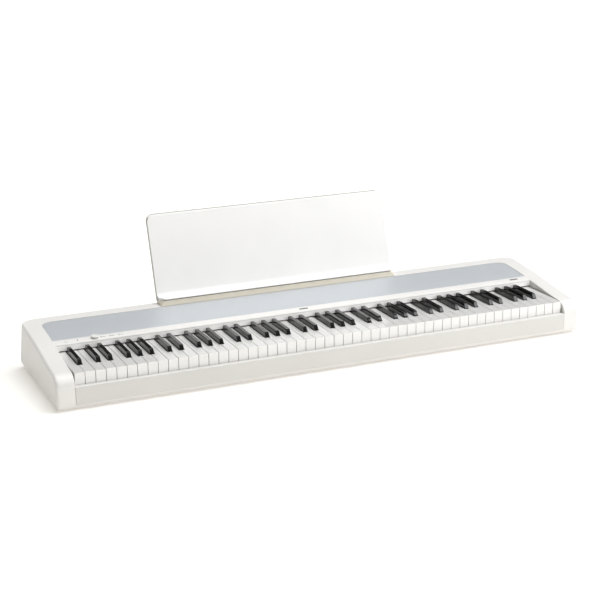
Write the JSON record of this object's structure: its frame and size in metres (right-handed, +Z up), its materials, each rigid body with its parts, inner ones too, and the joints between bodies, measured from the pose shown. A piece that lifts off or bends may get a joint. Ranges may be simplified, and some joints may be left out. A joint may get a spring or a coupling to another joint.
{
  "type": "digital piano",
  "caption": "Slab digital piano with a full-length keyboard, a metal speaker grille, controls on the left and a lift-off music rest, standing on rubber feet.",
  "frame": {"origin": "centre of the overall box at the level of the surface that the rubber feet stand on", "axes": "+X to the player's right along the keyboard, +Y away from the player, +Z up"},
  "size_m": [1.312, 0.3974, 0.318],
  "materials": {
    "shell": "satin",
    "underside": "matte",
    "grille": "satin",
    "chassis": "matte",
    "steel": "satin",
    "felt": "matte",
    "circuit_board": "satin",
    "contact_rubber": "matte",
    "led": "gloss",
    "speaker_steel": "satin",
    "cone_paper": "matte",
    "socket": "satin",
    "music_rest": "satin",
    "control": "satin",
    "foot_rubber": "matte",
    "key_white": "gloss",
    "key_black": "satin"
  },
  "bodies": {
    "case": {"top_case": "shell", "bottom_case": "underside", "front_rail": "shell", "grille_panel": "grille", "keybed_chassis": "chassis", "upper_stop_rail": "steel", "upper_stop_felt": "felt", "lower_stop_felt": "felt", "key_contact_board": "circuit_board", "key_contact_rubber": "contact_rubber", "power_led": "led", "panel_board": "circuit_board", "speaker_left_frame": "speaker_steel", "speaker_left_cone": "cone_paper", "speaker_right_frame": "speaker_steel", "speaker_right_cone": "cone_paper", "main_board": "circuit_board", "dc_inlet": "socket", "usb_socket": "socket", "pedal_jack": "socket", "headphone_jack": "socket", "line_jacks": "socket", "foot_front_left": "foot_rubber", "foot_front_right": "foot_rubber", "foot_rear_left": "foot_rubber", "foot_rear_right": "foot_rubber"},
    "music_rest": {"music_rest": "music_rest"},
    "volume_knob": {"volume_knob": "control"},
    "power_button": {"power_button": "control"},
    "sound_button": {"sound_button": "control"},
    "song_button": {"song_button": "control"},
    "metronome_button": {"metronome_button": "control"},
    "white_keys_low": {"white_keys_low": "key_white"},
    "black_keys_low": {"black_keys_low": "key_black"},
    "white_keys_high": {"white_keys_high": "key_white"},
    "black_keys_high": {"black_keys_high": "key_black"},
    "key_c3": {"key_c3": "key_white"},
    "key_c_sharp3": {"key_c_sharp3": "key_black"},
    "key_d3": {"key_d3": "key_white"},
    "key_d_sharp3": {"key_d_sharp3": "key_black"},
    "key_e3": {"key_e3": "key_white"},
    "key_f3": {"key_f3": "key_white"},
    "key_f_sharp3": {"key_f_sharp3": "key_black"},
    "key_g3": {"key_g3": "key_white"},
    "key_g_sharp3": {"key_g_sharp3": "key_black"},
    "key_a3": {"key_a3": "key_white"},
    "key_a_sharp3": {"key_a_sharp3": "key_black"},
    "key_b3": {"key_b3": "key_white"},
    "key_c4": {"key_c4": "key_white"},
    "key_c_sharp4": {"key_c_sharp4": "key_black"},
    "key_d4": {"key_d4": "key_white"},
    "key_d_sharp4": {"key_d_sharp4": "key_black"},
    "key_e4": {"key_e4": "key_white"},
    "key_f4": {"key_f4": "key_white"},
    "key_f_sharp4": {"key_f_sharp4": "key_black"},
    "key_g4": {"key_g4": "key_white"},
    "key_g_sharp4": {"key_g_sharp4": "key_black"},
    "key_a4": {"key_a4": "key_white"},
    "key_a_sharp4": {"key_a_sharp4": "key_black"},
    "key_b4": {"key_b4": "key_white"}
  },
  "joints": [
    {"name": "music_rest_lift", "type": "slide", "parent": "case", "child": "music_rest", "axis": [0, 0, 1], "range_m": [0, 0.05]},
    {"name": "volume_turn", "type": "hinge", "parent": "case", "child": "volume_knob", "pos_m": [-0.519, -0.0237, 0.1005], "axis": [0, -0.1386, 0.9903], "range_deg": [-150, 150]},
    {"name": "power_press", "type": "slide", "parent": "case", "child": "power_button", "axis": [0, 0.1386, -0.9903], "range_m": [0, 0.0008], "stiffness_N_per_m": 400, "springref_m": -0.002},
    {"name": "sound_press", "type": "slide", "parent": "case", "child": "sound_button", "axis": [0, 0.1386, -0.9903], "range_m": [0, 0.001], "stiffness_N_per_m": 400, "springref_m": -0.002},
    {"name": "song_press", "type": "slide", "parent": "case", "child": "song_button", "axis": [0, 0.1386, -0.9903], "range_m": [0, 0.001], "stiffness_N_per_m": 400, "springref_m": -0.002},
    {"name": "metronome_press", "type": "slide", "parent": "case", "child": "metronome_button", "axis": [0, 0.1386, -0.9903], "range_m": [0, 0.001], "stiffness_N_per_m": 400, "springref_m": -0.002},
    {"name": "white_keys_low_press", "type": "hinge", "parent": "case", "child": "white_keys_low", "pos_m": [0, 0.0273, 0.069], "axis": [1, 0, 0], "range_deg": [0, 2.65], "stiffness_Nm_per_rad": 16, "springref_deg": -10.89},
    {"name": "black_keys_low_press", "type": "hinge", "parent": "case", "child": "black_keys_low", "pos_m": [0, 0.0273, 0.069], "axis": [1, 0, 0], "range_deg": [0, 3.3], "stiffness_Nm_per_rad": 11, "springref_deg": -7.45},
    {"name": "white_keys_high_press", "type": "hinge", "parent": "case", "child": "white_keys_high", "pos_m": [0, 0.0273, 0.069], "axis": [1, 0, 0], "range_deg": [0, 2.65], "stiffness_Nm_per_rad": 22, "springref_deg": -10.89},
    {"name": "black_keys_high_press", "type": "hinge", "parent": "case", "child": "black_keys_high", "pos_m": [0, 0.0273, 0.069], "axis": [1, 0, 0], "range_deg": [0, 3.3], "stiffness_Nm_per_rad": 15, "springref_deg": -7.45},
    {"name": "key_c4_press", "type": "hinge", "parent": "case", "child": "key_c4", "pos_m": [0, 0.0273, 0.069], "axis": [1, 0, 0], "range_deg": [0, 2.65], "stiffness_Nm_per_rad": 1, "springref_deg": -10.89},
    {"name": "key_c_sharp4_press", "type": "hinge", "parent": "case", "child": "key_c_sharp4", "pos_m": [0, 0.0273, 0.069], "axis": [1, 0, 0], "range_deg": [0, 3.3], "stiffness_Nm_per_rad": 1, "springref_deg": -7.45},
    {"name": "key_d4_press", "type": "hinge", "parent": "case", "child": "key_d4", "pos_m": [0, 0.0273, 0.069], "axis": [1, 0, 0], "range_deg": [0, 2.65], "stiffness_Nm_per_rad": 1, "springref_deg": -10.89},
    {"name": "key_d_sharp4_press", "type": "hinge", "parent": "case", "child": "key_d_sharp4", "pos_m": [0, 0.0273, 0.069], "axis": [1, 0, 0], "range_deg": [0, 3.3], "stiffness_Nm_per_rad": 1, "springref_deg": -7.45},
    {"name": "key_e4_press", "type": "hinge", "parent": "case", "child": "key_e4", "pos_m": [0, 0.0273, 0.069], "axis": [1, 0, 0], "range_deg": [0, 2.65], "stiffness_Nm_per_rad": 1, "springref_deg": -10.89},
    {"name": "key_f4_press", "type": "hinge", "parent": "case", "child": "key_f4", "pos_m": [0, 0.0273, 0.069], "axis": [1, 0, 0], "range_deg": [0, 2.65], "stiffness_Nm_per_rad": 1, "springref_deg": -10.89},
    {"name": "key_f_sharp4_press", "type": "hinge", "parent": "case", "child": "key_f_sharp4", "pos_m": [0, 0.0273, 0.069], "axis": [1, 0, 0], "range_deg": [0, 3.3], "stiffness_Nm_per_rad": 1, "springref_deg": -7.45},
    {"name": "key_g4_press", "type": "hinge", "parent": "case", "child": "key_g4", "pos_m": [0, 0.0273, 0.069], "axis": [1, 0, 0], "range_deg": [0, 2.65], "stiffness_Nm_per_rad": 1, "springref_deg": -10.89},
    {"name": "key_g_sharp4_press", "type": "hinge", "parent": "case", "child": "key_g_sharp4", "pos_m": [0, 0.0273, 0.069], "axis": [1, 0, 0], "range_deg": [0, 3.3], "stiffness_Nm_per_rad": 1, "springref_deg": -7.45},
    {"name": "key_a4_press", "type": "hinge", "parent": "case", "child": "key_a4", "pos_m": [0, 0.0273, 0.069], "axis": [1, 0, 0], "range_deg": [0, 2.65], "stiffness_Nm_per_rad": 1, "springref_deg": -10.89},
    {"name": "key_a_sharp4_press", "type": "hinge", "parent": "case", "child": "key_a_sharp4", "pos_m": [0, 0.0273, 0.069], "axis": [1, 0, 0], "range_deg": [0, 3.3], "stiffness_Nm_per_rad": 1, "springref_deg": -7.45},
    {"name": "key_b4_press", "type": "hinge", "parent": "case", "child": "key_b4", "pos_m": [0, 0.0273, 0.069], "axis": [1, 0, 0], "range_deg": [0, 2.65], "stiffness_Nm_per_rad": 1, "springref_deg": -10.89},
    {"name": "key_c3_press", "type": "hinge", "parent": "case", "child": "key_c3", "pos_m": [0, 0.0273, 0.069], "axis": [1, 0, 0], "range_deg": [0, 2.65], "stiffness_Nm_per_rad": 1, "springref_deg": -10.89},
    {"name": "key_c_sharp3_press", "type": "hinge", "parent": "case", "child": "key_c_sharp3", "pos_m": [0, 0.0273, 0.069], "axis": [1, 0, 0], "range_deg": [0, 3.3], "stiffness_Nm_per_rad": 1, "springref_deg": -7.45},
    {"name": "key_d3_press", "type": "hinge", "parent": "case", "child": "key_d3", "pos_m": [0, 0.0273, 0.069], "axis": [1, 0, 0], "range_deg": [0, 2.65], "stiffness_Nm_per_rad": 1, "springref_deg": -10.89},
    {"name": "key_d_sharp3_press", "type": "hinge", "parent": "case", "child": "key_d_sharp3", "pos_m": [0, 0.0273, 0.069], "axis": [1, 0, 0], "range_deg": [0, 3.3], "stiffness_Nm_per_rad": 1, "springref_deg": -7.45},
    {"name": "key_e3_press", "type": "hinge", "parent": "case", "child": "key_e3", "pos_m": [0, 0.0273, 0.069], "axis": [1, 0, 0], "range_deg": [0, 2.65], "stiffness_Nm_per_rad": 1, "springref_deg": -10.89},
    {"name": "key_f3_press", "type": "hinge", "parent": "case", "child": "key_f3", "pos_m": [0, 0.0273, 0.069], "axis": [1, 0, 0], "range_deg": [0, 2.65], "stiffness_Nm_per_rad": 1, "springref_deg": -10.89},
    {"name": "key_f_sharp3_press", "type": "hinge", "parent": "case", "child": "key_f_sharp3", "pos_m": [0, 0.0273, 0.069], "axis": [1, 0, 0], "range_deg": [0, 3.3], "stiffness_Nm_per_rad": 1, "springref_deg": -7.45},
    {"name": "key_g3_press", "type": "hinge", "parent": "case", "child": "key_g3", "pos_m": [0, 0.0273, 0.069], "axis": [1, 0, 0], "range_deg": [0, 2.65], "stiffness_Nm_per_rad": 1, "springref_deg": -10.89},
    {"name": "key_g_sharp3_press", "type": "hinge", "parent": "case", "child": "key_g_sharp3", "pos_m": [0, 0.0273, 0.069], "axis": [1, 0, 0], "range_deg": [0, 3.3], "stiffness_Nm_per_rad": 1, "springref_deg": -7.45},
    {"name": "key_a3_press", "type": "hinge", "parent": "case", "child": "key_a3", "pos_m": [0, 0.0273, 0.069], "axis": [1, 0, 0], "range_deg": [0, 2.65], "stiffness_Nm_per_rad": 1, "springref_deg": -10.89},
    {"name": "key_a_sharp3_press", "type": "hinge", "parent": "case", "child": "key_a_sharp3", "pos_m": [0, 0.0273, 0.069], "axis": [1, 0, 0], "range_deg": [0, 3.3], "stiffness_Nm_per_rad": 1, "springref_deg": -7.45},
    {"name": "key_b3_press", "type": "hinge", "parent": "case", "child": "key_b3", "pos_m": [0, 0.0273, 0.069], "axis": [1, 0, 0], "range_deg": [0, 2.65], "stiffness_Nm_per_rad": 1, "springref_deg": -10.89}
  ]
}
